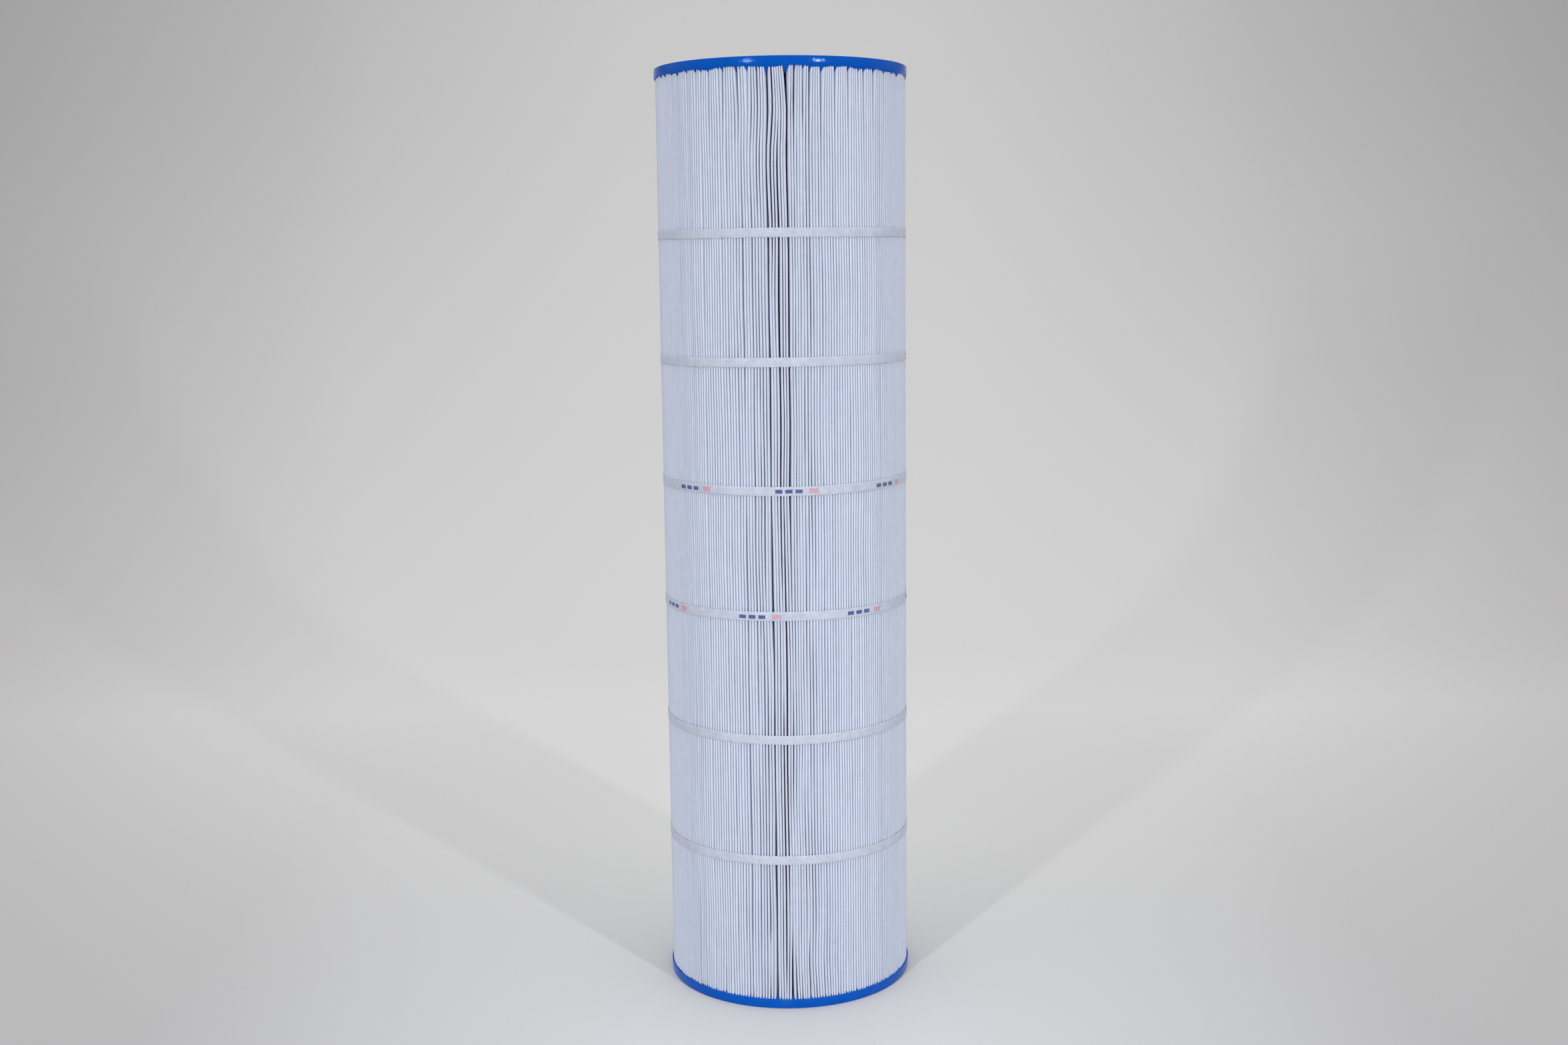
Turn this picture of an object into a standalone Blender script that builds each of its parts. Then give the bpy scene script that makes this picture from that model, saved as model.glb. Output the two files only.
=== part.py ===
"""Pleated filter cartridge for a pool or spa filter tank.

Two moulded end caps hold a perforated core tube and a ring of pleated polyester
cloth between them. Six ribbons of the same cloth run round the tips of the pleats
and keep them evenly spaced. Water comes in through the pleats, passes the holes of
the core and leaves through the bore at either end.

Metres, +Z up along the axis, origin at the centre of the bottom cap's outer face.
"""

import math

import bmesh
import bpy
from mathutils import Matrix

# The whole cartridge: the 7 inch by 26 inch size with a 3 inch bore.
CAP_RADIUS = 0.0893
HEIGHT = 0.660
BORE_RADIUS = 0.0381
GAP = 0.0003  # between two pieces that touch
SEGMENTS = 48  # facets of a cap or a ribbon

# End cap. Heights are measured from the cap's outer face, towards the pleats.
RIM_HEIGHT = 0.0064
RIM_WALL = 0.00073
RIM_ROUND = 0.0008
FLOOR_HEIGHT = 0.0032
SEAL_OUTER_RADIUS = 0.0475
SEAL_CHAMFER = 0.001
RIB_INNER_RADIUS = 0.0515
RIB_OUTER_RADIUS = 0.0545
LAND_INNER_RADIUS = 0.0815
FACE_RECESS = 0.001
RECESS_DRAFT = 0.0005
COLLAR_WALL = 0.0016

# Core tube, with staggered rows of round holes.
CORE_SEGMENTS = 24
CORE_INNER_RADIUS = 0.0386
CORE_WALL = 0.0029
HOLE_RADIUS = 0.0070
HOLE_SIDES = 8
HOLES_PER_ROW = 6
HOLE_ROWS = 17
FIRST_ROW_MARGIN = 0.034

# Pleated cloth.
PLEAT_COUNT = 256
PLEAT_TIP_RADIUS = 0.08827
PLEAT_ROOT_RADIUS = 0.0438
CLOTH_THICKNESS = 0.00042
TIP_HALF_WIDTH = 0.0006
ROOT_HALF_WIDTH = 0.00045

# Ribbons round the pleats.
BAND_COUNT = 6
BAND_WIDTH = 0.00635
BAND_THICKNESS = 0.0003
BAND_PITCH = 0.0872
FIRST_BAND_HEIGHT = 0.1090
LAP_LENGTH = 0.014
LAP_STAGGER = math.radians(14)

CORE_OUTER_RADIUS = CORE_INNER_RADIUS + CORE_WALL
BAND_INNER_RADIUS = PLEAT_TIP_RADIUS + GAP
INSIDE_BOTTOM = FLOOR_HEIGHT + GAP
INSIDE_TOP = HEIGHT - INSIDE_BOTTOM


# --- scene helpers ---------------------------------------------------------------


def clear_scene():
    """Removes every object that a new Blender file starts with."""
    for obj in list(bpy.data.objects):
        bpy.data.objects.remove(obj, do_unlink=True)


def new_collection(name, hidden=False):
    """A collection in the scene; a hidden one holds the cutters."""
    collection = bpy.data.collections.new(name)
    bpy.context.scene.collection.children.link(collection)
    collection.hide_render = hidden
    return collection


def new_material(name, colour, roughness, metallic=0.0):
    """A plain Principled BSDF material."""
    material = bpy.data.materials.new(name)
    material.use_nodes = True
    shader = material.node_tree.nodes["Principled BSDF"]
    shader.inputs["Base Color"].default_value = (*colour, 1.0)
    shader.inputs["Roughness"].default_value = roughness
    shader.inputs["Metallic"].default_value = metallic
    return material


def add_object(name, data, collection, material=None):
    """Puts mesh or curve data in the scene as an object with one material."""
    obj = bpy.data.objects.new(name, data)
    collection.objects.link(obj)
    if material is not None:
        data.materials.append(material)
    return obj


def on_circle(radius, angle):
    """A point on a circle round the axis, in the XY plane."""
    return radius * math.cos(angle), radius * math.sin(angle)


def shade_round(mesh):
    """Smooth shading that keeps the edges of a turned piece crisp."""
    mesh.shade_smooth()
    mesh.set_sharp_from_angle(angle=math.radians(30))


# --- shape helpers ---------------------------------------------------------------


def turned(name, profile, collection, material, segments=SEGMENTS):
    """A ring turned from a closed profile of (radius, height) points.

    The profile runs down its outer side, in along the bottom and back up inside.
    """
    section = bpy.data.meshes.new(name + "_section")
    points = [(radius, 0.0, height) for radius, height in profile]
    edges = [(i, (i + 1) % len(points)) for i in range(len(points))]
    section.from_pydata(points, edges, [])
    obj = add_object(name, section, collection)
    screw = obj.modifiers.new("Turn", "SCREW")
    screw.steps = segments
    screw.render_steps = segments
    screw.use_merge_vertices = True
    screw.merge_threshold = 0.00001
    evaluated = obj.evaluated_get(bpy.context.evaluated_depsgraph_get())
    obj.data = bpy.data.meshes.new_from_object(evaluated)
    obj.modifiers.clear()
    obj.data.materials.append(material)
    shade_round(obj.data)
    return obj


def extruded(name, outlines, thickness, collection, material):
    """A flat plate: the first outline's area less the others', centred on its height."""
    curve = bpy.data.curves.new(name, "CURVE")
    curve.dimensions = "2D"
    curve.fill_mode = "BOTH"
    curve.extrude = thickness / 2
    for outline in outlines:
        spline = curve.splines.new("POLY")
        spline.points.add(len(outline) - 1)
        for point, (x, y) in zip(spline.points, outline):
            point.co = (x, y, 0.0, 1.0)
        spline.use_cyclic_u = True
    shape = bpy.data.objects.new(name + "_outline", curve)
    mesh = bpy.data.meshes.new_from_object(shape)
    bpy.data.objects.remove(shape)
    bpy.data.curves.remove(curve)
    weld_mesh(mesh)
    shade_round(mesh)
    return add_object(name, mesh, collection, material)


def weld_mesh(mesh):
    """Joins the loose caps of a filled curve to its sides, with all faces out."""
    work = bmesh.new()
    work.from_mesh(mesh)
    bmesh.ops.remove_doubles(work, verts=work.verts, dist=0.00001)
    bmesh.ops.recalc_face_normals(work, faces=work.faces)
    work.to_mesh(mesh)
    work.free()


# --- end caps --------------------------------------------------------------------


def rounded_foot():
    """The outer edge of the cap's face, a quarter circle from the side to the face."""
    steps = 3
    centre_radius = CAP_RADIUS - RIM_ROUND
    points = []
    for i in range(steps + 1):
        angle = -math.pi / 2 * i / steps
        radius = centre_radius + RIM_ROUND * math.cos(angle)
        height = RIM_ROUND + RIM_ROUND * math.sin(angle)
        points.append((radius, height))
    return points


def cap_profile():
    """The bottom cap's section: rim, outer face with its seal land, bore and floor."""
    collar_inner = CORE_OUTER_RADIUS + GAP
    collar_outer = collar_inner + COLLAR_WALL
    rim_inner = CAP_RADIUS - RIM_WALL
    outer_side = [(CAP_RADIUS, RIM_HEIGHT)] + rounded_foot()
    face = [
        (LAND_INNER_RADIUS, 0.0),
        (LAND_INNER_RADIUS - RECESS_DRAFT, FACE_RECESS),
        (RIB_OUTER_RADIUS + RECESS_DRAFT, FACE_RECESS),
        (RIB_OUTER_RADIUS, 0.0),
        (RIB_INNER_RADIUS, 0.0),
        (RIB_INNER_RADIUS - RECESS_DRAFT, FACE_RECESS),
        (SEAL_OUTER_RADIUS + RECESS_DRAFT, FACE_RECESS),
        (SEAL_OUTER_RADIUS, 0.0),
        (BORE_RADIUS + SEAL_CHAMFER, 0.0),
    ]
    bore = [(BORE_RADIUS, SEAL_CHAMFER), (BORE_RADIUS, FLOOR_HEIGHT)]
    inside = [
        (collar_inner, FLOOR_HEIGHT),
        (collar_inner, RIM_HEIGHT),
        (collar_outer, RIM_HEIGHT),
        (collar_outer, FLOOR_HEIGHT),
        (rim_inner, FLOOR_HEIGHT),
        (rim_inner, RIM_HEIGHT),
    ]
    return outer_side + face + bore + inside


def make_end_caps(collection, material):
    """The two caps are the same moulding; the top one is turned over."""
    turned("bottom_end_cap", cap_profile(), collection, material)
    top = turned("top_end_cap", cap_profile(), collection, material)
    top.location.z = HEIGHT
    top.rotation_euler.x = math.pi


# --- core tube -------------------------------------------------------------------


def make_hole_cutter(collection):
    """One short rod through the core's wall for each hole, all in one mesh."""
    mesh = bpy.data.meshes.new("core_hole_cutter")
    work = bmesh.new()
    middle_radius = CORE_INNER_RADIUS + CORE_WALL / 2
    row_pitch = (HEIGHT - 2 * FIRST_ROW_MARGIN) / (HOLE_ROWS - 1)
    hole_angle = 2 * math.pi / HOLES_PER_ROW
    lie_down = Matrix.Rotation(math.pi / 2, 4, "Y")
    for row in range(HOLE_ROWS):
        height = FIRST_ROW_MARGIN + row * row_pitch
        for hole in range(HOLES_PER_ROW):
            angle = (hole + (row % 2) / 2) * hole_angle
            place = Matrix.Rotation(angle, 4, "Z") @ Matrix.Translation((middle_radius, 0, height))
            bmesh.ops.create_cone(
                work,
                cap_ends=True,
                segments=HOLE_SIDES,
                radius1=HOLE_RADIUS,
                radius2=HOLE_RADIUS,
                depth=3 * CORE_WALL,
                matrix=place @ lie_down,
            )
    work.to_mesh(mesh)
    work.free()
    cutter = add_object("core_hole_cutter", mesh, collection)
    cutter.hide_render = True
    cutter.display_type = "WIRE"
    return cutter


def make_core_tube(collection, cutters, material):
    """A tube that stands between the caps' floors, inside their collars."""
    profile = [
        (CORE_OUTER_RADIUS, INSIDE_TOP),
        (CORE_OUTER_RADIUS, INSIDE_BOTTOM),
        (CORE_INNER_RADIUS, INSIDE_BOTTOM),
        (CORE_INNER_RADIUS, INSIDE_TOP),
    ]
    core = turned("core_tube", profile, collection, material, CORE_SEGMENTS)
    holes = core.modifiers.new("Holes", "BOOLEAN")
    holes.operation = "DIFFERENCE"
    holes.solver = "EXACT"
    holes.object = make_hole_cutter(cutters)


# --- pleated cloth ---------------------------------------------------------------


def pleat_outlines():
    """The cloth's outer and inner sides, as it zigzags once round the axis.

    Each pleat has a narrow flat tip outside and a narrow flat root inside. A crease
    is a single point on the side of the cloth that it folds towards.
    """
    outer, inner = [], []
    step = 2 * math.pi / PLEAT_COUNT
    tip_angle = TIP_HALF_WIDTH / PLEAT_TIP_RADIUS
    root_angle = ROOT_HALF_WIDTH / PLEAT_ROOT_RADIUS
    for pleat in range(PLEAT_COUNT):
        middle = pleat * step
        valley = middle + step / 2
        outer.append(on_circle(PLEAT_TIP_RADIUS, middle - tip_angle))
        outer.append(on_circle(PLEAT_TIP_RADIUS, middle + tip_angle))
        outer.append(on_circle(PLEAT_ROOT_RADIUS + CLOTH_THICKNESS, valley))
        inner.append(on_circle(PLEAT_TIP_RADIUS - CLOTH_THICKNESS, middle))
        inner.append(on_circle(PLEAT_ROOT_RADIUS, valley - root_angle))
        inner.append(on_circle(PLEAT_ROOT_RADIUS, valley + root_angle))
    return outer, inner


def make_pleated_media(collection, material):
    """One long strip of cloth, folded into pleats and joined end to end."""
    length = INSIDE_TOP - INSIDE_BOTTOM
    media = extruded("pleated_media", pleat_outlines(), length, collection, material)
    media.location.z = HEIGHT / 2


# --- ribbons ---------------------------------------------------------------------


def band_outlines(lap_middle):
    """The ribbon's outer side, with the raised step of its lap joint, and its inner side."""
    inner_radius = BAND_INNER_RADIUS
    outer_radius = inner_radius + BAND_THICKNESS
    lap_radius = outer_radius + BAND_THICKNESS
    lap_half = LAP_LENGTH / 2 / outer_radius
    step = 2 * math.pi / SEGMENTS
    lap_ends = (lap_middle - lap_half, lap_middle + lap_half)
    outer = [
        on_circle(outer_radius, lap_ends[0]),
        on_circle(lap_radius, lap_ends[0]),
        on_circle(lap_radius, lap_middle),
        on_circle(lap_radius, lap_ends[1]),
        on_circle(outer_radius, lap_ends[1]),
    ]
    outer += [
        on_circle(outer_radius, lap_middle + i * step) for i in range(2, SEGMENTS - 1)
    ]
    inner = [on_circle(inner_radius, lap_middle + i * step) for i in range(SEGMENTS)]
    return outer, inner


def make_bands(collection, material):
    """Six ribbons, evenly spaced up the pleats, with their laps staggered at the back."""
    for i in range(BAND_COUNT):
        lap_middle = math.pi / 2 + (i - (BAND_COUNT - 1) / 2) * LAP_STAGGER
        band = extruded(
            f"band_{i + 1}", band_outlines(lap_middle), BAND_WIDTH, collection, material
        )
        band.location.z = FIRST_BAND_HEIGHT + i * BAND_PITCH


def main():
    clear_scene()
    parts = new_collection("filter_cartridge")
    cutters = new_collection("cutters", hidden=True)
    cap_blue = new_material("cap_polyurethane", (0.0, 0.07, 0.42), 0.35)
    core_white = new_material("core_pvc", (0.80, 0.80, 0.78), 0.45)
    cloth = new_material("media_polyester", (0.66, 0.70, 0.80), 0.80)
    ribbon = new_material("band_polyester", (0.72, 0.75, 0.82), 0.75)
    make_end_caps(parts, cap_blue)
    make_core_tube(parts, cutters, core_white)
    make_pleated_media(parts, cloth)
    make_bands(parts, ribbon)


main()
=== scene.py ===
"""The looks of a pleated pool and spa filter cartridge.

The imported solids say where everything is. This script builds the cloth pleat by
pleat, pots its ends in the two blue caps, wraps the six ribbons round the tips,
and gives every surface its material. Metres, +Z up, the front towards -Y.
"""

import math

import bmesh
import bpy
import numpy as np
from mathutils import Matrix, Vector


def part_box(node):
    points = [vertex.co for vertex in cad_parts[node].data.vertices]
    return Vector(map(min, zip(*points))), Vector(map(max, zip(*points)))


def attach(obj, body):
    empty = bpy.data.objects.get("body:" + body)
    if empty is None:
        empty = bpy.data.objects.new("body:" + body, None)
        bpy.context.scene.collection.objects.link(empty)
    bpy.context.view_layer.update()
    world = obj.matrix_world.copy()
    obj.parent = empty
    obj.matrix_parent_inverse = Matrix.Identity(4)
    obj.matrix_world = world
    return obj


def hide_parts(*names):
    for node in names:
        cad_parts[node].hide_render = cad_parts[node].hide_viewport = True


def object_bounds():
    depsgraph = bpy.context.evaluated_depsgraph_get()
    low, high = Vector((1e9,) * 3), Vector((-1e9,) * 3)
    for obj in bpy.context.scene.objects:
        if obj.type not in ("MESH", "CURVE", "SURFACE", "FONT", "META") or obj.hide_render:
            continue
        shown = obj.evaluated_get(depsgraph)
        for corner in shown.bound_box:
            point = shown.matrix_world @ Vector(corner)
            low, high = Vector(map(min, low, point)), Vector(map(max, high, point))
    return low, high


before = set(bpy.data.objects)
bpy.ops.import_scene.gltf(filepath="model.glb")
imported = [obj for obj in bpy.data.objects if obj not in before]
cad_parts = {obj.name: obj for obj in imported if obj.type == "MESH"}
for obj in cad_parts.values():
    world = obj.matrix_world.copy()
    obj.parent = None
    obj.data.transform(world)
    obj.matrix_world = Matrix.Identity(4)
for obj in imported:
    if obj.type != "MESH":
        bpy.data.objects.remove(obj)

CAD_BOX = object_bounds()
MM = 0.001

# The camera stands in front, above the middle, and looks slightly down.
CAMERA_DISTANCE = 1.2864
CAMERA_HEIGHT = 0.5264
CAMERA_YAW = -0.0007
CAMERA_PITCH = -0.1467
CAMERA_ROLL = -0.0118
CAMERA_LENS = 40.73

# Pleats. Pleat 0 faces the front, and they are counted anticlockwise from above.
PLEAT_COUNT = 256
PLEAT_ROOT_RADIUS = 43.8 * MM
TIP_HALF_WIDTH = 0.54 * MM
TIP_BULGE_DEPTH = 0.42 * MM
# The shoulders stand behind the bulge: deep where the gap is open, near the tip where shut.
SHOULDER_HALF_WIDTH = 0.80 * MM
SHOULDER_DEPTH = 3.20 * MM
SHUT_DEPTH = 1.40 * MM
# A flank leans into a gap wider than the pitch by this share of the excess: the flank on
# the gap's left, and the one on its right.
SLUMP_LEFT, SLUMP_RIGHT = 0.10, 0.40
# What is left between a flank and the middle of its gap, at the least.
TOUCHING = 0.01 * MM
LEAST_SPACING = 1.82 * MM
LEAST_SPACING_AT_CAPS = 1.50 * MM
STEP = 2 * math.pi / PLEAT_COUNT
FRONT = -math.pi / 2
BACK = math.pi / 2
SEED = 11

# Ribbons.
BAND_COUNT = 6
RIBBON_THICKNESS = 0.30 * MM
RIBBON_STEPS_PER_PLEAT = 5
RIBBON_SAG = 0.09 * MM
RIBBON_DRIFT = 0.25 * MM
RIBBON_FRAY = 0.05 * MM
RIBBON_ROUNDING = 0.10 * MM
TIP_GLUE = 0.02 * MM
LAP_GLUE = 0.03 * MM
LAP_LENGTH = 14 * MM
LAP_STAGGER = math.radians(14)

# Core tube holes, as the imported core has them.
HOLES_PER_ROW = 6
HOLE_ROWS = 17
FIRST_ROW_MARGIN = 34 * MM
HOLE_RADIUS = 7.0 * MM
HOLE_SIDES = 24
CORE_WALL = 2.9 * MM
CORE_SIDES = 96

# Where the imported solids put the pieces.
CAP_LOW, CAP_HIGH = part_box("bottom_end_cap")
MEDIA_LOW, MEDIA_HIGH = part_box("pleated_media")
CORE_LOW, CORE_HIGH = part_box("core_tube")
TOTAL_HEIGHT = CAD_BOX[1].z
CAP_RADIUS = CAP_HIGH.x
RIM_HEIGHT = CAP_HIGH.z
TIP_RADIUS = MEDIA_HIGH.x
CORE_RADIUS = CORE_HIGH.x
BAND_BOXES = [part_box(f"band_{i + 1}") for i in range(BAND_COUNT)]
BAND_HEIGHTS = [(low.z + high.z) / 2 for low, high in BAND_BOXES]
BAND_WIDTH = BAND_BOXES[0][1].z - BAND_BOXES[0][0].z
TIP_CIRCLE = 2 * math.pi * TIP_RADIUS
PITCH = TIP_RADIUS * STEP

rng = np.random.default_rng(SEED)


# --- small helpers ---------------------------------------------------------------


def smoothstep(value):
    """0 below 0, 1 above 1, and a smooth rise between."""
    clipped = np.clip(value, 0.0, 1.0)
    return clipped * clipped * (3 - 2 * clipped)


def ring_noise(rows, count, reach):
    """Rows of noise round a ring, smooth over about reach steps, of unit spread."""
    noise = rng.standard_normal((rows, count))
    steps = np.minimum(np.arange(count), count - np.arange(count))
    kernel = np.exp(-0.5 * (steps / reach) ** 2)
    smooth = np.fft.ifft(np.fft.fft(noise, axis=1) * np.fft.fft(kernel), axis=1).real
    return smooth / smooth.std()


def through_knots(knots, values, places):
    """A smooth curve through the rows of values at the knots, read at the places."""
    slopes = np.gradient(values, knots, axis=0)
    right = np.clip(np.searchsorted(knots, places), 1, len(knots) - 1)
    left = right - 1
    width = (knots[right] - knots[left])[:, None]
    t = np.clip((places - knots[left])[:, None] / width, 0, 1)
    start, end = values[left], values[right]
    bend_in, bend_out = slopes[left] * width, slopes[right] * width
    return (
        (1 + 2 * t) * (1 - t) ** 2 * start
        + t * (1 - t) ** 2 * bend_in
        + t * t * (3 - 2 * t) * end
        + t * t * (t - 1) * bend_out
    )


def grid_mesh(name, points, closed_across=True, closed_along=False):
    """A mesh over a grid of points, closed or open in each direction."""
    rows, columns = points.shape[:2]
    index = np.arange(rows * columns).reshape(rows, columns)
    if closed_across:
        index = np.concatenate([index, index[:, :1]], axis=1)
    if closed_along:
        index = np.concatenate([index, index[:1]], axis=0)
    faces = np.stack(
        [index[:-1, :-1], index[:-1, 1:], index[1:, 1:], index[1:, :-1]], axis=-1
    ).reshape(-1, 4)
    mesh = bpy.data.meshes.new(name)
    mesh.from_pydata(points.reshape(-1, 3).tolist(), [], faces.tolist())
    mesh.validate()
    return mesh


def finish_mesh(mesh, sharp_degrees, close_ends=False):
    """Faces out, ends filled if asked for, smooth except at sharp edges."""
    work = bmesh.new()
    work.from_mesh(mesh)
    if close_ends:
        bmesh.ops.holes_fill(work, edges=[e for e in work.edges if e.is_boundary])
    bmesh.ops.recalc_face_normals(work, faces=work.faces)
    work.to_mesh(mesh)
    work.free()
    mesh.shade_smooth()
    mesh.set_sharp_from_angle(angle=math.radians(sharp_degrees))


def linked_object(name, mesh):
    """An object of the scene that shows a mesh."""
    shown = bpy.data.objects.new(name, mesh)
    bpy.context.scene.collection.objects.link(shown)
    return shown


def add_piece(name, mesh, material, slot, *nodes):
    """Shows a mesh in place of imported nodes, moving with the one body."""
    piece = linked_object(name, mesh)
    mesh.materials.append(material)
    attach(piece, "root")
    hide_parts(*nodes)
    return piece


# --- materials -------------------------------------------------------------------


class Shader:
    """A Principled material and a short way to add nodes to it."""

    def __init__(self, name):
        self.material = bpy.data.materials.new(name)
        self.material.use_nodes = True
        self.nodes = self.material.node_tree.nodes
        self.links = self.material.node_tree.links
        self.surface = self.nodes["Principled BSDF"]
        self.place = self.nodes.new("ShaderNodeTexCoord").outputs["Object"]

    def put(self, source, target):
        """Links a socket, or sets a constant."""
        if isinstance(source, bpy.types.NodeSocket):
            self.links.new(source, target)
        else:
            target.default_value = source

    def to_surface(self, **sources):
        """Puts each source on the surface's input of that name, _ standing for a space."""
        for name, source in sources.items():
            self.put(source, self.surface.inputs[name.replace("_", " ")])

    def stretched(self, scale):
        """The place on the object, stretched before a texture reads it."""
        node = self.nodes.new("ShaderNodeMapping")
        self.links.new(self.place, node.inputs["Vector"])
        node.inputs["Scale"].default_value = scale
        return node.outputs["Vector"]

    def noise(self, per_metre, detail=3.0, vector=None, roughness=0.55):
        """Noise from 0 to 1 with that many features to a metre."""
        node = self.nodes.new("ShaderNodeTexNoise")
        self.links.new(vector or self.place, node.inputs["Vector"])
        node.inputs["Scale"].default_value = per_metre
        node.inputs["Detail"].default_value = detail
        node.inputs["Roughness"].default_value = roughness
        return node.outputs["Fac"]

    def span(self, value, low, high, to_low=0.0, to_high=1.0):
        """Maps low..high to to_low..to_high, and stays inside them."""
        node = self.nodes.new("ShaderNodeMapRange")
        self.put(value, node.inputs["Value"])
        node.inputs["From Min"].default_value = low
        node.inputs["From Max"].default_value = high
        node.inputs["To Min"].default_value = to_low
        node.inputs["To Max"].default_value = to_high
        return node.outputs["Result"]

    def math(self, operation, first, second=0.0):
        """One arithmetic step."""
        node = self.nodes.new("ShaderNodeMath")
        node.operation = operation
        self.put(first, node.inputs[0])
        self.put(second, node.inputs[1])
        return node.outputs["Value"]

    def mix(self, share, first, second):
        """A colour between two others."""
        node = self.nodes.new("ShaderNodeMix")
        node.data_type = "RGBA"
        self.put(share, node.inputs["Factor"])
        for colour, socket in ((first, node.inputs[6]), (second, node.inputs[7])):
            self.put(colour if isinstance(colour, bpy.types.NodeSocket) else (*colour, 1.0), socket)
        return node.outputs[2]

    def bump(self, height, distance, strength=1.0, under=None):
        """Surface relief, on top of another bump if one is given."""
        node = self.nodes.new("ShaderNodeBump")
        self.put(height, node.inputs["Height"])
        node.inputs["Distance"].default_value = distance
        node.inputs["Strength"].default_value = strength
        if under is not None:
            self.links.new(under, node.inputs["Normal"])
        return node.outputs["Normal"]

    def fibres(self):
        """Crossing filaments of spunbonded cloth, 0 in the hollows and 1 on a filament."""
        slanted = (
            self.noise(2600, 2.0, self.stretched((1.0, 1.0, 0.22))),
            self.noise(2200, 2.0, self.stretched((0.25, 0.25, 1.0))),
        )
        crossing = self.math("MAXIMUM", *slanted)
        return self.span(crossing, 0.42, 0.72)


# On a filament, and in the hollows between filaments.
CLOTH_LIGHT = (0.60, 0.643, 0.765)
CLOTH_DARK = (0.475, 0.523, 0.635)
CLOTH_CONTRAST = 0.7
RIBBON_LIGHT = (0.56, 0.60, 0.705)
RIBBON_DARK = (0.35, 0.39, 0.485)
RIBBON_CONTRAST = 0.9
CAP_DEEP = (0.000, 0.072, 0.40)
CAP_BRIGHT = (0.000, 0.082, 0.44)
CAP_SCUFFED = (0.45, 0.55, 0.75)
CAP_GLINT = (0.42, 0.63, 1.0, 1.0)
PVC_DULL = (0.74, 0.75, 0.75)
PVC_WHITE = (0.82, 0.83, 0.83)


def cloth_material(name, contrast, light, dark):
    """Spunbonded polyester: a felt of fine filaments, bluish white and matte."""
    shader = Shader(name)
    fibres = shader.fibres()
    blotches = shader.span(shader.noise(160, 3.0), 0.3, 0.7)
    fine = shader.math("MULTIPLY", fibres, 0.6)
    coarse = shader.math("MULTIPLY", blotches, 0.4)
    felt = shader.math("ADD", fine, coarse)
    share = shader.span(felt, 0.0, 1.0, 1.0 - contrast, 1.0)
    colour = shader.mix(share, dark, light)
    shader.to_surface(
        Base_Color=colour,
        Roughness=shader.span(fibres, 0.0, 1.0, 0.92, 0.72),
        Normal=shader.bump(fibres, 0.06 * MM, 0.5),
        Sheen_Weight=0.15,
        Sheen_Roughness=0.6,
    )
    return shader, colour


def cap_material():
    """Poured polyurethane: saturated blue, satin, with faint scuffs on the outside."""
    shader = Shader("cap_polyurethane_blue")
    depth = shader.span(shader.noise(55, 4.0), 0.3, 0.7)
    blue = shader.mix(depth, CAP_DEEP, CAP_BRIGHT)
    scuff_patches = shader.span(shader.noise(38, 2.0), 0.63, 0.72)
    scratches = shader.noise(1500, 3.0, shader.stretched((1.0, 1.0, 0.5)))
    scuffs = shader.math("MULTIPLY", scuff_patches, shader.span(scratches, 0.48, 0.66))
    colour = shader.mix(shader.math("MULTIPLY", scuffs, 0.10), blue, CAP_SCUFFED)
    polish = shader.span(shader.noise(420, 3.0), 0.3, 0.7, 0.05, 0.11)
    ripple = shader.bump(shader.noise(560, 3.0), 0.16 * MM, 0.7)
    shader.to_surface(
        Base_Color=colour,
        Roughness=shader.math("ADD", polish, shader.math("MULTIPLY", scuffs, 0.25)),
        Normal=shader.bump(shader.noise(3000, 2.0), 0.02 * MM, 0.4, ripple),
        Specular_IOR_Level=0.22,
        Specular_Tint=CAP_GLINT,
    )
    return shader.material


def core_material():
    """Extruded white PVC, with long faint draw lines."""
    shader = Shader("core_pvc_white")
    lines = shader.noise(900, 2.0, shader.stretched((1.0, 1.0, 0.02)))
    shader.to_surface(
        Base_Color=shader.mix(shader.span(lines, 0.3, 0.7), PVC_DULL, PVC_WHITE),
        Roughness=shader.span(lines, 0.3, 0.7, 0.35, 0.5),
        Normal=shader.bump(lines, 0.03 * MM, 0.4),
    )
    return shader.material


# Two ribbons carry a print at an even pitch: three plain dashes, then a plain block.
# A print's place is the middle of its dashes, from the front, anticlockwise from above.
PRINT_PITCH = math.radians(50.5)
PRINT_ANGLES = {3: math.radians(-15.5), 4: math.radians(1.8)}
PRINT_SOFTNESS = 0.12 * MM
DASH_COLOUR = (0.030, 0.040, 0.21)
DASH_PLACES = (-6.9 * MM, 0.0, 6.9 * MM)
DASH_HALF_LENGTH = 2.5 * MM
DASH_HALF_HEIGHT = 1.3 * MM
BLOCK_COLOUR = (0.55, 0.16, 0.20)
BLOCK_PLACE = 17.2 * MM
BLOCK_HALF_LENGTH = 3.4 * MM
BLOCK_HALF_HEIGHT = 1.7 * MM


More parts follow.
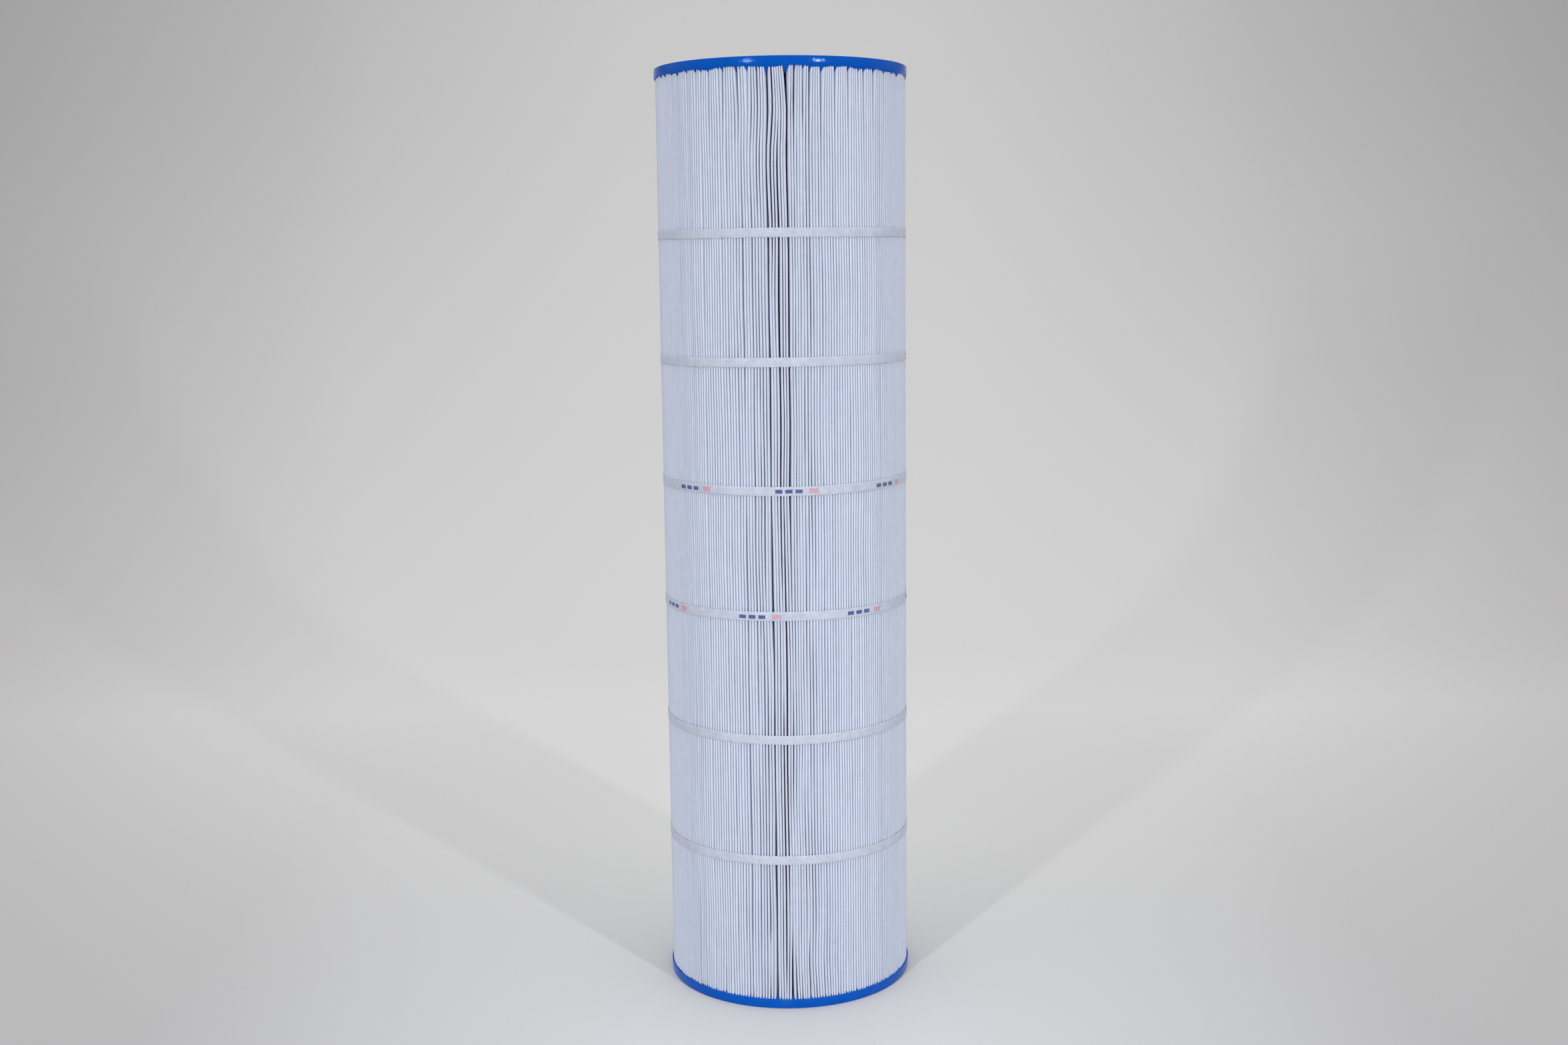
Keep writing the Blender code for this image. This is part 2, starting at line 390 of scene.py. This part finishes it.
def printed_cloth_material(band):
    """The cloth of a printed ribbon, with its dashes and blocks."""
    name = f"ribbon_spunbond_printed_{band}"
    shader, cloth = cloth_material(name, RIBBON_CONTRAST, RIBBON_LIGHT, RIBBON_DARK)
    place = shader.nodes.new("ShaderNodeSeparateXYZ")
    shader.links.new(shader.place, place.inputs["Vector"])
    x, y, z = place.outputs
    angle = shader.math("ARCTAN2", x, shader.math("MULTIPLY", y, -1.0))
    from_print = shader.math("SUBTRACT", angle, PRINT_ANGLES[band])
    turns = shader.math("DIVIDE", from_print, PRINT_PITCH)
    cell = shader.math("SUBTRACT", turns, shader.math("ROUND", turns))
    along = shader.math("MULTIPLY", cell, PRINT_PITCH * TIP_RADIUS)
    up = shader.math("SUBTRACT", z, BAND_HEIGHTS[band - 1])

    def within(value, middle, half):
        """1 where value is inside a stretch, with a slightly soft edge."""
        away = shader.math("ABSOLUTE", shader.math("SUBTRACT", value, middle))
        return shader.span(away, half - PRINT_SOFTNESS, half + PRINT_SOFTNESS, 1.0, 0.0)

    dashes = 0.0
    for dash_place in DASH_PLACES:
        dashes = shader.math("MAXIMUM", dashes, within(along, dash_place, DASH_HALF_LENGTH))
    dashes = shader.math("MULTIPLY", dashes, within(up, 0.0, DASH_HALF_HEIGHT))
    block = within(along, BLOCK_PLACE, BLOCK_HALF_LENGTH)
    block = shader.math("MULTIPLY", block, within(up, 0.0, BLOCK_HALF_HEIGHT))
    soaked = shader.span(shader.noise(1800, 2.0), 0.3, 0.6, 0.75, 1.0)
    colour = shader.mix(shader.math("MULTIPLY", dashes, soaked), cloth, DASH_COLOUR)
    faded = shader.math("MULTIPLY", block, shader.math("MULTIPLY", soaked, 0.6))
    shader.to_surface(Base_Color=shader.mix(faded, colour, BLOCK_COLOUR))
    return shader.material


# --- pleats ----------------------------------------------------------------------


def knot_heights():
    """Heights at which the pleats' places are set: caps, near them, bands and mid-spans."""
    bottom, top = RIM_HEIGHT, TOTAL_HEIGHT - RIM_HEIGHT
    near_cap = 30 * MM
    stops = [bottom, *BAND_HEIGHTS, top]
    middles = [(low + high) / 2 for low, high in zip(stops[:-1], stops[1:])]
    return np.array(sorted([*stops, *middles, bottom + near_cap, top - near_cap]))


def named_slits(knots):
    """The wide gaps near the front, as openings of chosen gaps at the knots.

    A gap is numbered by the pleat on its left. Openings run from the bottom knot up.
    The pleats on the right of a slit give way to it, and those on its left hardly move.
    """
    openings = np.zeros((len(knots), PLEAT_COUNT))
    upper_right = [0, 0, 0, 0, 0, 0, 0, 0.1, 0.2, 0.3, 0.4, 0.5, 0.6, 0.5, 0.4, 1.0, 4.3]
    upper_left = [0, 0, 0, 0, 0, 0, 0, 0.1, 0.3, 0.5, 0.7, 0.9, 1.4, 0.8, 0.3]
    beside_left = [0, 0, 0, 0, 0, 0, 0, 0, 0, 0, 0, 0, 0, 0.3, 0.6, 0.8, 0.8]
    middle = [0, 0, 0.1, 0.3, 0.5, 0.7, 0.8, 0.5, 0.2]
    lower = [0.1, 0.4, 0.6, 0.6, 0.5, 0.3, 0.2]
    bottom = [1.9, 0.5, 0.1]
    left = [0.5, 0.7, 0.5, 0.1]
    slits = (
        (1, upper_right), (-2, upper_left), (-4, beside_left), (-1, middle),
        (-2, lower), (0, bottom), (-34, left),
    )
    for gap, widths in slits:
        openings[: len(widths), gap] = np.array(widths) * MM
    return openings


def random_notches(knots):
    """Bunches of pleats: how much wider each gap between two bunches is at the knots.

    All the way up these are faint grooves. The resin holds others open at the caps,
    more often and wider at the top, and they close again within the next knot or two.
    """
    openings = np.zeros((len(knots), PLEAT_COUNT))
    gap = 1.0
    while gap < PLEAT_COUNT - 2:
        width = (rng.uniform(0.08, 0.45) + 0.35 * (rng.random() < 0.35)) * MM
        openings[:, int(gap)] += width * np.clip(1 + 0.5 * rng.standard_normal(len(knots)), 0, 2)
        gap += rng.uniform(2.0, 5.5)
    at_top, at_bottom = (-1, -2, 3.6, 0.7, 2.6), (0, 1, 6.0, 0.2, 0.7)
    for end_knot, next_knot, pleats_between, least, most in (at_top, at_bottom):
        gap = 3.0
        while gap < PLEAT_COUNT - 3:
            width = rng.uniform(least, most) * MM
            openings[end_knot, int(gap)] += width
            openings[next_knot, int(gap)] += 0.35 * width
            gap += rng.uniform(0.6, 1.5) * pleats_between
    return openings


def spread_out(places, heights):
    """Pushes pleats apart until none is too near its neighbour; nearest at the caps."""
    reach_of_caps = 60 * MM
    passes = 80
    from_cap = np.minimum(heights - RIM_HEIGHT, TOTAL_HEIGHT - RIM_HEIGHT - heights)[:, None]
    free = smoothstep(from_cap / reach_of_caps)
    least = LEAST_SPACING_AT_CAPS + (LEAST_SPACING - LEAST_SPACING_AT_CAPS) * free
    for _ in range(passes):
        after = np.roll(places, -1, axis=1)
        after[:, -1] += TIP_CIRCLE
        overlap = np.maximum(least - (after - places), 0) / 2
        places = places - overlap + np.roll(overlap, 1, axis=1)
    return places


def pleat_places(heights):
    """Where each pleat's tip is along the circumference at each height, in metres.

    The second result is how far the gap after each pleat is closed behind the tips,
    from 0, open down to the root, to 1, where the two flanks touch.
    """
    knots = knot_heights()
    pleats = np.arange(PLEAT_COUNT)

    # Each pleat's own place, and its sway with height: half as much where a ribbon holds it.
    at_band = np.isin(knots, BAND_HEIGHTS)[:, None]
    looseness = np.where(at_band, 0.5, 1.0)
    wander = 0.20 * ring_noise(1, PLEAT_COUNT, 4.0)
    wander = wander + 0.05 * ring_noise(1, PLEAT_COUNT, 0.5)
    sway = 0.24 * ring_noise(len(knots), PLEAT_COUNT, 3.5)
    sway = sway + 0.04 * ring_noise(len(knots), PLEAT_COUNT, 0.5)
    offsets = (wander + looseness * sway) * MM

    # A wide gap pushes its neighbours aside, less and less over some pleats.
    openings = random_notches(knots)
    slits = named_slits(knots)
    fade = 5.0
    for gap in range(PLEAT_COUNT):
        beyond = np.exp(-((pleats - gap - 1) % PLEAT_COUNT) / fade)
        before = np.exp(-((gap - pleats) % PLEAT_COUNT) / fade)
        offsets += openings[:, gap : gap + 1] * (0.5 * beyond - 0.5 * before)
        offsets += slits[:, gap : gap + 1] * (0.8 * beyond - 0.2 * before)
    places = spread_out(pleats * PITCH + offsets, knots)
    places = spread_out(through_knots(knots, places, heights), heights)

    # Most gaps are shut behind the tips, those at the front and between bunches less so,
    # and the slits are open.
    front_reach = 7
    wide_open = 0.9 * MM
    slit_least = 0.25 * MM
    from_front = np.minimum(pleats, PLEAT_COUNT - 1 - pleats)
    looser = np.exp(-((from_front / front_reach) ** 2))
    shut = 1.0 - 0.30 * looser + 0.30 * ring_noise(1, PLEAT_COUNT, 0.5)
    shut = shut + 0.22 * ring_noise(len(knots), PLEAT_COUNT, 0.5)
    shut = shut - 0.4 * smoothstep(openings / wide_open)
    shut = np.where(slits > slit_least, 0.0, shut)
    return places, np.clip(through_knots(knots, shut, heights), 0, 1)


def media_heights():
    """Heights of the cloth's rows of points: closer together at the caps."""
    low, high = MEDIA_LOW.z, MEDIA_HIGH.z
    near = np.array([0.0, 2.9, 4.8, 8.5, 14.0, 22.0]) * MM
    margin, rows_between = 32 * MM, 52
    middle = np.linspace(low + margin, high - margin, rows_between)
    return np.concatenate([low + near, middle, (high - near)[::-1]])


def polar(radius, along, height):
    """Points from a radius, a length round the tips' circle, and a height."""
    angle = FRONT + along / TIP_RADIUS
    return np.stack([radius * np.cos(angle), radius * np.sin(angle), height + 0 * angle], -1)


def pleated_points(heights):
    """The cloth's points, row by row, and where each pleat's crown is along the tips' circle.

    Round a row, each pleat has six: the root before it, a shoulder, a bulge, the crown,
    and then the other bulge and shoulder.
    """
    rows = len(heights)
    crown, shut_after = pleat_places(heights)
    shut_before = np.roll(shut_after, 1, axis=1)
    gap_after = np.concatenate([crown[:, 1:], crown[:, :1] + TIP_CIRCLE], axis=1) - crown
    gap_before = np.roll(gap_after, 1, axis=1)

    # The rounded tip: some are plumper, and some have sunk in a little.
    plump = 1 + 0.05 * ring_noise(rows, PLEAT_COUNT, 0.6)
    width = TIP_HALF_WIDTH * np.clip(plump, 0.85, 1.1)
    left = np.minimum(width, gap_before / 2 - TOUCHING)
    right = np.minimum(width, gap_after / 2 - TOUCHING)
    deepest_sink = 0.35 * MM
    sink = 0.10 * ring_noise(1, PLEAT_COUNT, 0.8)
    sink = sink + 0.05 * ring_noise(rows, PLEAT_COUNT, 1.0)
    tip = TIP_RADIUS - np.minimum(np.abs(sink) * MM, deepest_sink)

    # The shoulders behind it, which meet the neighbour's where the gap is shut.
    full = SHOULDER_HALF_WIDTH * width / TIP_HALF_WIDTH
    slumped_left = full + SLUMP_RIGHT * np.maximum(gap_before - PITCH, 0)
    slumped_right = full + SLUMP_LEFT * np.maximum(gap_after - PITCH, 0)
    shoulder_left = np.minimum(slumped_left, gap_before / 2 - TOUCHING)
    shoulder_right = np.minimum(slumped_right, gap_after / 2 - TOUCHING)
    shoulder_left += shut_before * (gap_before / 2 - 3 * TOUCHING - shoulder_left)
    shoulder_right += shut_after * (gap_after / 2 - 3 * TOUCHING - shoulder_right)
    depth_after = SHOULDER_DEPTH + shut_after * (SHUT_DEPTH - SHOULDER_DEPTH)
    depth_before = np.roll(depth_after, 1, axis=1)

    root = (np.arange(PLEAT_COUNT) - 0.5) * PITCH + 0 * crown
    z = heights[:, None]
    points = np.stack(
        [
            polar(PLEAT_ROOT_RADIUS + 0 * crown, root, z),
            polar(tip - depth_before, crown - shoulder_left, z),
            polar(tip - TIP_BULGE_DEPTH, crown - left, z),
            polar(tip, crown, z),
            polar(tip - TIP_BULGE_DEPTH, crown + right, z),
            polar(tip - depth_after, crown + shoulder_right, z),
        ],
        axis=2,
    )
    return points.reshape(rows, PLEAT_COUNT * 6, 3), crown


def make_media():
    """The cloth: the piece, the heights of its rows and each pleat's crown along the circle."""
    heights = media_heights()
    points, crown = pleated_points(heights)
    mesh = grid_mesh("pleated_cloth", points)
    finish_mesh(mesh, 100)
    shader, _ = cloth_material("media_spunbond", CLOTH_CONTRAST, CLOTH_LIGHT, CLOTH_DARK)
    piece = add_piece("pleated_cloth", mesh, shader.material, "media_polyester", "pleated_media")
    return piece, heights, crown


# --- caps ------------------------------------------------------------------------


def arc(centre_radius, centre_height, radius, start, end, steps):
    """Points of a round corner in a turned profile, as (radius, height)."""
    angles = np.linspace(math.radians(start), math.radians(end), steps)
    return [
        (centre_radius + radius * math.cos(a), centre_height + radius * math.sin(a))
        for a in angles
    ]


def cap_profile():
    """The cap's section from the rim down, in along the face, up the bore and out again."""
    foot = 0.8 * MM
    lip = 0.25 * MM
    land, rib_out, rib_in, seal = 81.5 * MM, 54.5 * MM, 51.5 * MM, 47.5 * MM
    recess, draft, soft = 1.0 * MM, 0.5 * MM, 0.3 * MM
    bore, chamfer = 38.1 * MM, 1.0 * MM
    floor = 3.2 * MM
    rim = arc(CAP_RADIUS - lip, RIM_HEIGHT - lip, lip, 90, 0, 3)
    side = [(CAP_RADIUS, RIM_HEIGHT * 0.5)] + arc(CAP_RADIUS - foot, foot, foot, 0, -90, 5)
    face = [
        (land + soft, 0.0),
        (land - soft / 2, soft / 2),
        (land - draft, recess),
        (rib_out + draft, recess),
        (rib_out + soft / 2, soft / 2),
        (rib_out - soft, 0.0),
        (rib_in + soft, 0.0),
        (rib_in - soft / 2, soft / 2),
        (rib_in - draft, recess),
        (seal + draft, recess),
        (seal + soft / 2, soft / 2),
        (seal - soft, 0.0),
        (bore + chamfer, 0.0),
    ]
    inner = [(bore, chamfer), (bore, floor), (CORE_RADIUS + 0.2 * MM, floor)]
    collar = [(CORE_RADIUS + 0.3 * MM, RIM_HEIGHT), (PLEAT_ROOT_RADIUS - 0.5 * MM, RIM_HEIGHT)]
    return rim + side + face + inner + collar


# How far inside the tips' circle each ring of the potting's surface lies. The first two
# lie outside it, in the film that has crept onto the pleat tips.
POTTING_DEPTHS = np.array([-0.5, -0.12, 0.5, 1.0, 1.8, 3.2, 6.0, 12.0, 20.0, 30.0, 43.4]) * MM
# How far outside the tips' circle the flat top of the rim begins.
LEDGE = 0.60 * MM
FACETS_PER_PLEAT = 8


def across_gaps(crown, angles):
    """For each angle: the gap it is in, how far across it, and the gap's spacing."""
    along = (angles - FRONT) * TIP_RADIUS
    ring = np.concatenate([crown, crown[:1] + TIP_CIRCLE])
    along = (along - ring[0]) % TIP_CIRCLE + ring[0]
    gap = np.clip(np.searchsorted(ring, along, side="right") - 1, 0, PLEAT_COUNT - 1)
    spacing = ring[gap + 1] - ring[gap]
    return gap, (along - ring[gap]) / spacing, spacing


def potting_levels(crown, angles, creep, climb, web_least):
    """Height of the resin above the rim at each potting ring and angle.

    On a pleat's tip it is a thin film, up to creep mm high. Between two pleats it is a
    pointed web, some web_least metres high, and higher in a wide gap: creep sets by what
    share of the gap's room. Behind the tips it has climbed up to climb mm further.
    """
    gap, across, spacing = across_gaps(crown, angles)
    film = creep * MM * np.clip(0.35 + 0.5 * ring_noise(1, PLEAT_COUNT, 1.6)[0], 0, 1)
    film_next = np.roll(film, -1)
    on_tip = film[gap] * (1 - across) + film_next[gap] * across

    # The web stands between the two tips, and is highest midway.
    from_middle = np.abs(2 * across - 1)
    edge = (2 * TIP_HALF_WIDTH + 0.30 * MM) / spacing
    room = np.clip(spacing - 2.1 * MM, 0, 1.6 * MM)
    least = web_least * rng.uniform(0.1, 1.5, PLEAT_COUNT)[gap]
    highest = least + creep * 1.35 * room
    web = np.clip((1 - from_middle - edge) / (1 - edge), 0, 1) * highest

    # Further in, the whole web shows, and the resin has climbed the flanks.
    climbed = climb * MM * rng.uniform(0.3, 1.0, PLEAT_COUNT)[gap] + 0.6 * creep * room
    behind = smoothstep((POTTING_DEPTHS[:, None] - 0.3 * MM) / (2.5 * MM))
    levels = on_tip + web * (0.45 + 0.55 * behind)
    levels = levels + behind * climbed * (0.6 + 0.4 * from_middle)
    levels[0] *= 0.4
    return levels


def make_cap(name, node, crown, material, turned_over, creep, climb, web_least):
    """A turned cap whose inside is full of resin that has crept up between the pleats."""
    steps = PLEAT_COUNT * FACETS_PER_PLEAT
    angles = FRONT + np.arange(steps) * 2 * math.pi / steps
    profile = np.array(cap_profile())
    radii = np.repeat(profile[:, :1], steps, axis=1)
    levels = np.repeat(profile[:, 1:], steps, axis=1)
    potting_radii = np.repeat((TIP_RADIUS - POTTING_DEPTHS)[::-1, None], steps, axis=1)
    resin = RIM_HEIGHT + potting_levels(crown, angles, creep, climb, web_least)[::-1]
    ledge_radius = TIP_RADIUS + LEDGE + 0 * angles
    radii = np.concatenate([radii, potting_radii, ledge_radius[None]])
    levels = np.concatenate([levels, resin, (RIM_HEIGHT + 0 * angles)[None]])
    if turned_over:
        levels = TOTAL_HEIGHT - levels
    points = np.stack([radii * np.cos(angles), radii * np.sin(angles), levels], -1)
    mesh = grid_mesh(name, points, closed_along=True)
    finish_mesh(mesh, 35)
    return add_piece(name, mesh, material, "cap_polyurethane", node)


# --- ribbons ---------------------------------------------------------------------


def make_ribbon(number, heights, crown, material):
    """A strip of cloth glued round the tips, its end lapped over its start at the back."""
    height = BAND_HEIGHTS[number - 1]
    places = np.array([np.interp(height, heights, crown[:, i]) for i in range(PLEAT_COUNT)])
    lap_middle = BACK + (number - 1 - (BAND_COUNT - 1) / 2) * LAP_STAGGER
    lap = LAP_LENGTH / TIP_RADIUS
    steps = PLEAT_COUNT * RIBBON_STEPS_PER_PLEAT
    angles = lap_middle - lap / 2 + np.linspace(0, 2 * math.pi + lap, steps)

    # It sags a little between two tips, and its end climbs onto its start.
    across = across_gaps(places, angles)[1]
    sag = RIBBON_SAG * np.sin(math.pi * across) ** 2
    climbing = smoothstep((angles - angles[-1] + 1.35 * lap) / (0.3 * lap))
    lift = (RIBBON_THICKNESS + LAP_GLUE) * climbing
    inner = TIP_RADIUS + TIP_GLUE - sag + lift
    outer = inner + RIBBON_THICKNESS

    # It isn't laid quite level, and its cut edges are rough.
    taper = np.sin(math.pi * np.arange(steps) / steps)
    drift = RIBBON_DRIFT * ring_noise(1, steps, 90)[0] * taper
    half = BAND_WIDTH / 2
    outside = (outer, (-1, -0.93, -0.45, 0, 0.45, 0.93, 1))
    inside = (inner, (1, 0, -1))
    section = []
    for face_radius, shares in (outside, inside):
        for share in shares:
            fray = RIBBON_FRAY * ring_noise(1, steps, 1.2)[0] * abs(share) ** 8
            rounding = RIBBON_ROUNDING * (abs(share) == 1) * (face_radius is outer)
            radius = face_radius - rounding
            level = height + drift + share * half + fray
            section.append(np.stack([radius * np.cos(angles), radius * np.sin(angles), level], -1))
    points = np.stack(section, axis=1)
    mesh = grid_mesh(f"ribbon_{number}", points)
    finish_mesh(mesh, 50, close_ends=True)
    return add_piece(f"ribbon_{number}", mesh, material, "band_polyester", f"band_{number}")


# --- core ------------------------------------------------------------------------


def core_holes():
    """The plugs that cut the holes, in rows. Every second row is turned by half a step."""
    middle = CORE_RADIUS - CORE_WALL / 2
    row_pitch = (TOTAL_HEIGHT - 2 * FIRST_ROW_MARGIN) / (HOLE_ROWS - 1)
    lie_down = Matrix.Rotation(math.pi / 2, 4, "Y")
    work = bmesh.new()
    for row in range(HOLE_ROWS):
        for hole in range(HOLES_PER_ROW):
            turn = Matrix.Rotation((hole + (row % 2) / 2) * 2 * math.pi / HOLES_PER_ROW, 4, "Z")
            place = turn @ Matrix.Translation((middle, 0, FIRST_ROW_MARGIN + row * row_pitch))
            bmesh.ops.create_cone(
                work, cap_ends=True, segments=HOLE_SIDES, radius1=HOLE_RADIUS,
                radius2=HOLE_RADIUS, depth=3 * CORE_WALL, matrix=place @ lie_down,
            )
    mesh = bpy.data.meshes.new("core_holes")
    work.to_mesh(mesh)
    work.free()
    return linked_object("core_holes", mesh)


def core_blank():
    """The tube before its holes are cut, with a small bevel at its ends."""
    angles = np.arange(CORE_SIDES) * 2 * math.pi / CORE_SIDES
    bevel = 0.3 * MM
    inner_radius = CORE_RADIUS - CORE_WALL
    low, high = CORE_LOW.z, CORE_HIGH.z
    section = [
        (CORE_RADIUS, high - bevel), (CORE_RADIUS, low + bevel),
        (CORE_RADIUS - bevel, low), (inner_radius + bevel, low),
        (inner_radius, low + bevel), (inner_radius, high - bevel),
        (inner_radius + bevel, high), (CORE_RADIUS - bevel, high),
    ]
    points = np.array([
        [(radius * math.cos(a), radius * math.sin(a), level) for a in angles]
        for radius, level in section
    ])
    mesh = grid_mesh("core_blank", points, closed_along=True)
    finish_mesh(mesh, 30)
    return linked_object("core_blank", mesh)


def make_core(material):
    """The perforated tube, round and smooth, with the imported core's holes."""
    holes, blank = core_holes(), core_blank()
    cut = blank.modifiers.new("Holes", "BOOLEAN")
    cut.operation = "DIFFERENCE"
    cut.solver = "EXACT"
    cut.object = holes
    cut_blank = blank.evaluated_get(bpy.context.evaluated_depsgraph_get())
    mesh = bpy.data.meshes.new_from_object(cut_blank)
    mesh.name = "perforated_core"
    bpy.data.objects.remove(blank)
    bpy.data.objects.remove(holes)
    mesh.materials.clear()
    mesh.shade_smooth()
    mesh.set_sharp_from_angle(angle=math.radians(30))
    return add_piece("perforated_core", mesh, material, "core_pvc", "core_tube")


# --- stage, lights and camera ------------------------------------------------------


# Two tones of each paper, mixed in soft blotches.
FLOOR_PAPER = ((0.600, 0.596, 0.588), (0.610, 0.607, 0.605))
WALL_PAPER = ((0.533, 0.529, 0.522), (0.543, 0.540, 0.538))
# One tone each, painted light and shade on the paper: a painted pool of light on the wall
# right behind the cartridge, painted shade on the floor in front of it and under it, darker
# painted shade on the floor to either side of that, and painted shade at the paper's far
# left and right.
LIT_WALL_BEHIND = (0.602, 0.600, 0.596)
SHADED_FLOOR_IN_FRONT = (0.553, 0.556, 0.570)
SHADED_FLOOR_UNDER = (0.535, 0.535, 0.53)
SHADED_FLOOR_BESIDE = (0.380, 0.380, 0.385)
SHADED_PAPER_ASIDE = (0.39, 0.37, 0.365)


def backdrop_mesh():
    """Floor, wide curve and wall in one sheet."""
    floor_front, wall_y, bend, top, half_width = -4.0, 3.3, 2.2, 4.5, 5.0
    curve = [
        (wall_y - bend + bend * math.sin(a), bend - bend * math.cos(a))
        for a in np.linspace(0, math.pi / 2, 40)
    ]
    line = [(floor_front, 0.0), (0.0, 0.0), *curve, (wall_y, top)]
    points = np.array([[(x, y, z) for x in (-half_width, half_width)] for y, z in line])
    mesh = grid_mesh("backdrop", points, closed_across=False)
    finish_mesh(mesh, 60)
    return mesh


def backdrop_material():
    """Pale matte paper in soft blotches, with a painted pool of light behind the cartridge
    and painted shade in front of it, under it, beside it and towards the far sides.
    """
    shader = Shader("backdrop_paper")
    tint = shader.span(shader.noise(1.1, 2.0), 0.3, 0.7)
    floor_paper = shader.mix(tint, *FLOOR_PAPER)
    wall_paper = shader.mix(tint, *WALL_PAPER)
    place = shader.nodes.new("ShaderNodeSeparateXYZ")
    shader.links.new(shader.place, place.inputs["Vector"])
    x, y, _ = place.outputs
    off_centre = shader.math("ABSOLUTE", x)

    # Painted light: the wall is lighter right behind the cartridge.
    wall_paper = shader.mix(shader.span(off_centre, 0.35, 1.1, 1.0, 0.0), wall_paper, LIT_WALL_BEHIND)
    paper = shader.mix(shader.span(y, 1.1, 2.9), floor_paper, wall_paper)
    # Painted shade on the floor in front of the cartridge and under it, darker still to either
    # side.
    centre = shader.mix(shader.span(y, -0.10, 0.20), SHADED_FLOOR_IN_FRONT, SHADED_FLOOR_UNDER)
    front = shader.mix(shader.span(off_centre, 0.10, 0.45), centre, SHADED_FLOOR_BESIDE)
    paper = shader.mix(shader.span(y, -0.15, 0.75, 1.0, 0.0), paper, front)
    # A painted pool of light that widens with depth; outside it, painted shade darkens the paper
    # towards the far left and right.
    light_pool_half_width = shader.span(y, 0.0, 2.6, 0.45, 1.35)
    aside = shader.math("DIVIDE", off_centre, light_pool_half_width)
    paper = shader.mix(shader.span(aside, 0.70, 2.2), paper, SHADED_PAPER_ASIDE)
    shader.to_surface(
        Base_Color=paper,
        Roughness=shader.span(shader.noise(400, 3.0), 0.3, 0.7, 0.8, 0.95),
    )
    return shader.material


def make_backdrop():
    """The pale paper sweep that the cartridge stands on."""
    mesh = backdrop_mesh()
    mesh.materials.append(backdrop_material())
    backdrop = linked_object("backdrop", mesh)


def area_light(name, place, aim, width, height, power, spread=180):
    """A softbox at a place, turned to face a point, its beam spread over some degrees."""
    light = bpy.data.lights.new(name, "AREA")
    light.shape = "RECTANGLE"
    light.size, light.size_y = width, height
    light.energy = power
    light.spread = math.radians(spread)
    lamp = bpy.data.objects.new(name, light)
    bpy.context.scene.collection.objects.link(lamp)
    lamp.location = place
    lamp.rotation_euler = (Vector(aim) - Vector(place)).to_track_quat("-Z", "Y").to_euler()


def make_lights():
    """A bright room, two narrow softboxes in front and one wide one overhead."""
    world = bpy.data.worlds.new("studio")
    bpy.context.scene.world = world
    world.use_nodes = True
    background = world.node_tree.nodes["Background"]
    background.inputs["Color"].default_value = (0.96, 0.97, 1.0, 1.0)
    background.inputs["Strength"].default_value = 0.50
    near_foot = (0, 0, 0.15)
    narrow = {"width": 0.07, "height": 0.28, "power": 7.0, "spread": 120}
    wide = {"width": 2.6, "height": 2.6, "power": 76}
    area_light("softbox_left", (-0.95, -1.79, 0.82), near_foot, **narrow)
    area_light("softbox_right", (1.13, -1.69, 0.82), near_foot, **narrow)
    area_light("overhead", (0, 0.4, 3.4), (0, 0.4, 0), **wide)


def make_camera():
    """Looks at the front from the stated place and angles."""
    data = bpy.data.cameras.new("camera")
    data.sensor_width = 36.0
    data.lens = CAMERA_LENS
    data.clip_start = 0.01
    camera = bpy.data.objects.new("camera", data)
    bpy.context.scene.collection.objects.link(camera)
    level = math.cos(CAMERA_PITCH)
    ahead = (math.sin(CAMERA_YAW) * level, math.cos(CAMERA_YAW) * level, math.sin(CAMERA_PITCH))
    forward = Vector(ahead)
    right = Vector((math.cos(CAMERA_YAW), -math.sin(CAMERA_YAW), 0))
    up = right.cross(forward)
    tilted_right = math.cos(CAMERA_ROLL) * right + math.sin(CAMERA_ROLL) * up
    tilted_up = math.cos(CAMERA_ROLL) * up - math.sin(CAMERA_ROLL) * right
    turn = Matrix((tilted_right, tilted_up, -forward)).transposed()
    camera.matrix_world = Matrix.Translation((0, -CAMERA_DISTANCE, CAMERA_HEIGHT)) @ turn.to_4x4()
    bpy.context.scene.camera = camera


# --- the whole ---------------------------------------------------------------------

make_camera()
bpy.context.scene.view_settings.view_transform = "Standard"
cloth, cloth_rows, crowns = make_media()
cap_blue = cap_material()
bottom_crown = crowns[np.searchsorted(cloth_rows, RIM_HEIGHT)]
top_crown = crowns[np.searchsorted(cloth_rows, TOTAL_HEIGHT - RIM_HEIGHT) - 1]
make_cap(
    "potted_cap_bottom", "bottom_end_cap", bottom_crown, cap_blue,
    turned_over=False, creep=0.15, climb=0.5, web_least=1.8 * MM,
)
make_cap(
    "potted_cap_top", "top_end_cap", top_crown, cap_blue,
    turned_over=True, creep=1.2, climb=1.4, web_least=1.3 * MM,
)
plain_ribbon, _ = cloth_material("ribbon_spunbond", RIBBON_CONTRAST, RIBBON_LIGHT, RIBBON_DARK)
for band in range(1, BAND_COUNT + 1):
    printed = band in PRINT_ANGLES
    ribbon_cloth = printed_cloth_material(band) if printed else plain_ribbon.material
    make_ribbon(band, cloth_rows, crowns, ribbon_cloth)
make_core(core_material())
make_backdrop()
make_lights()
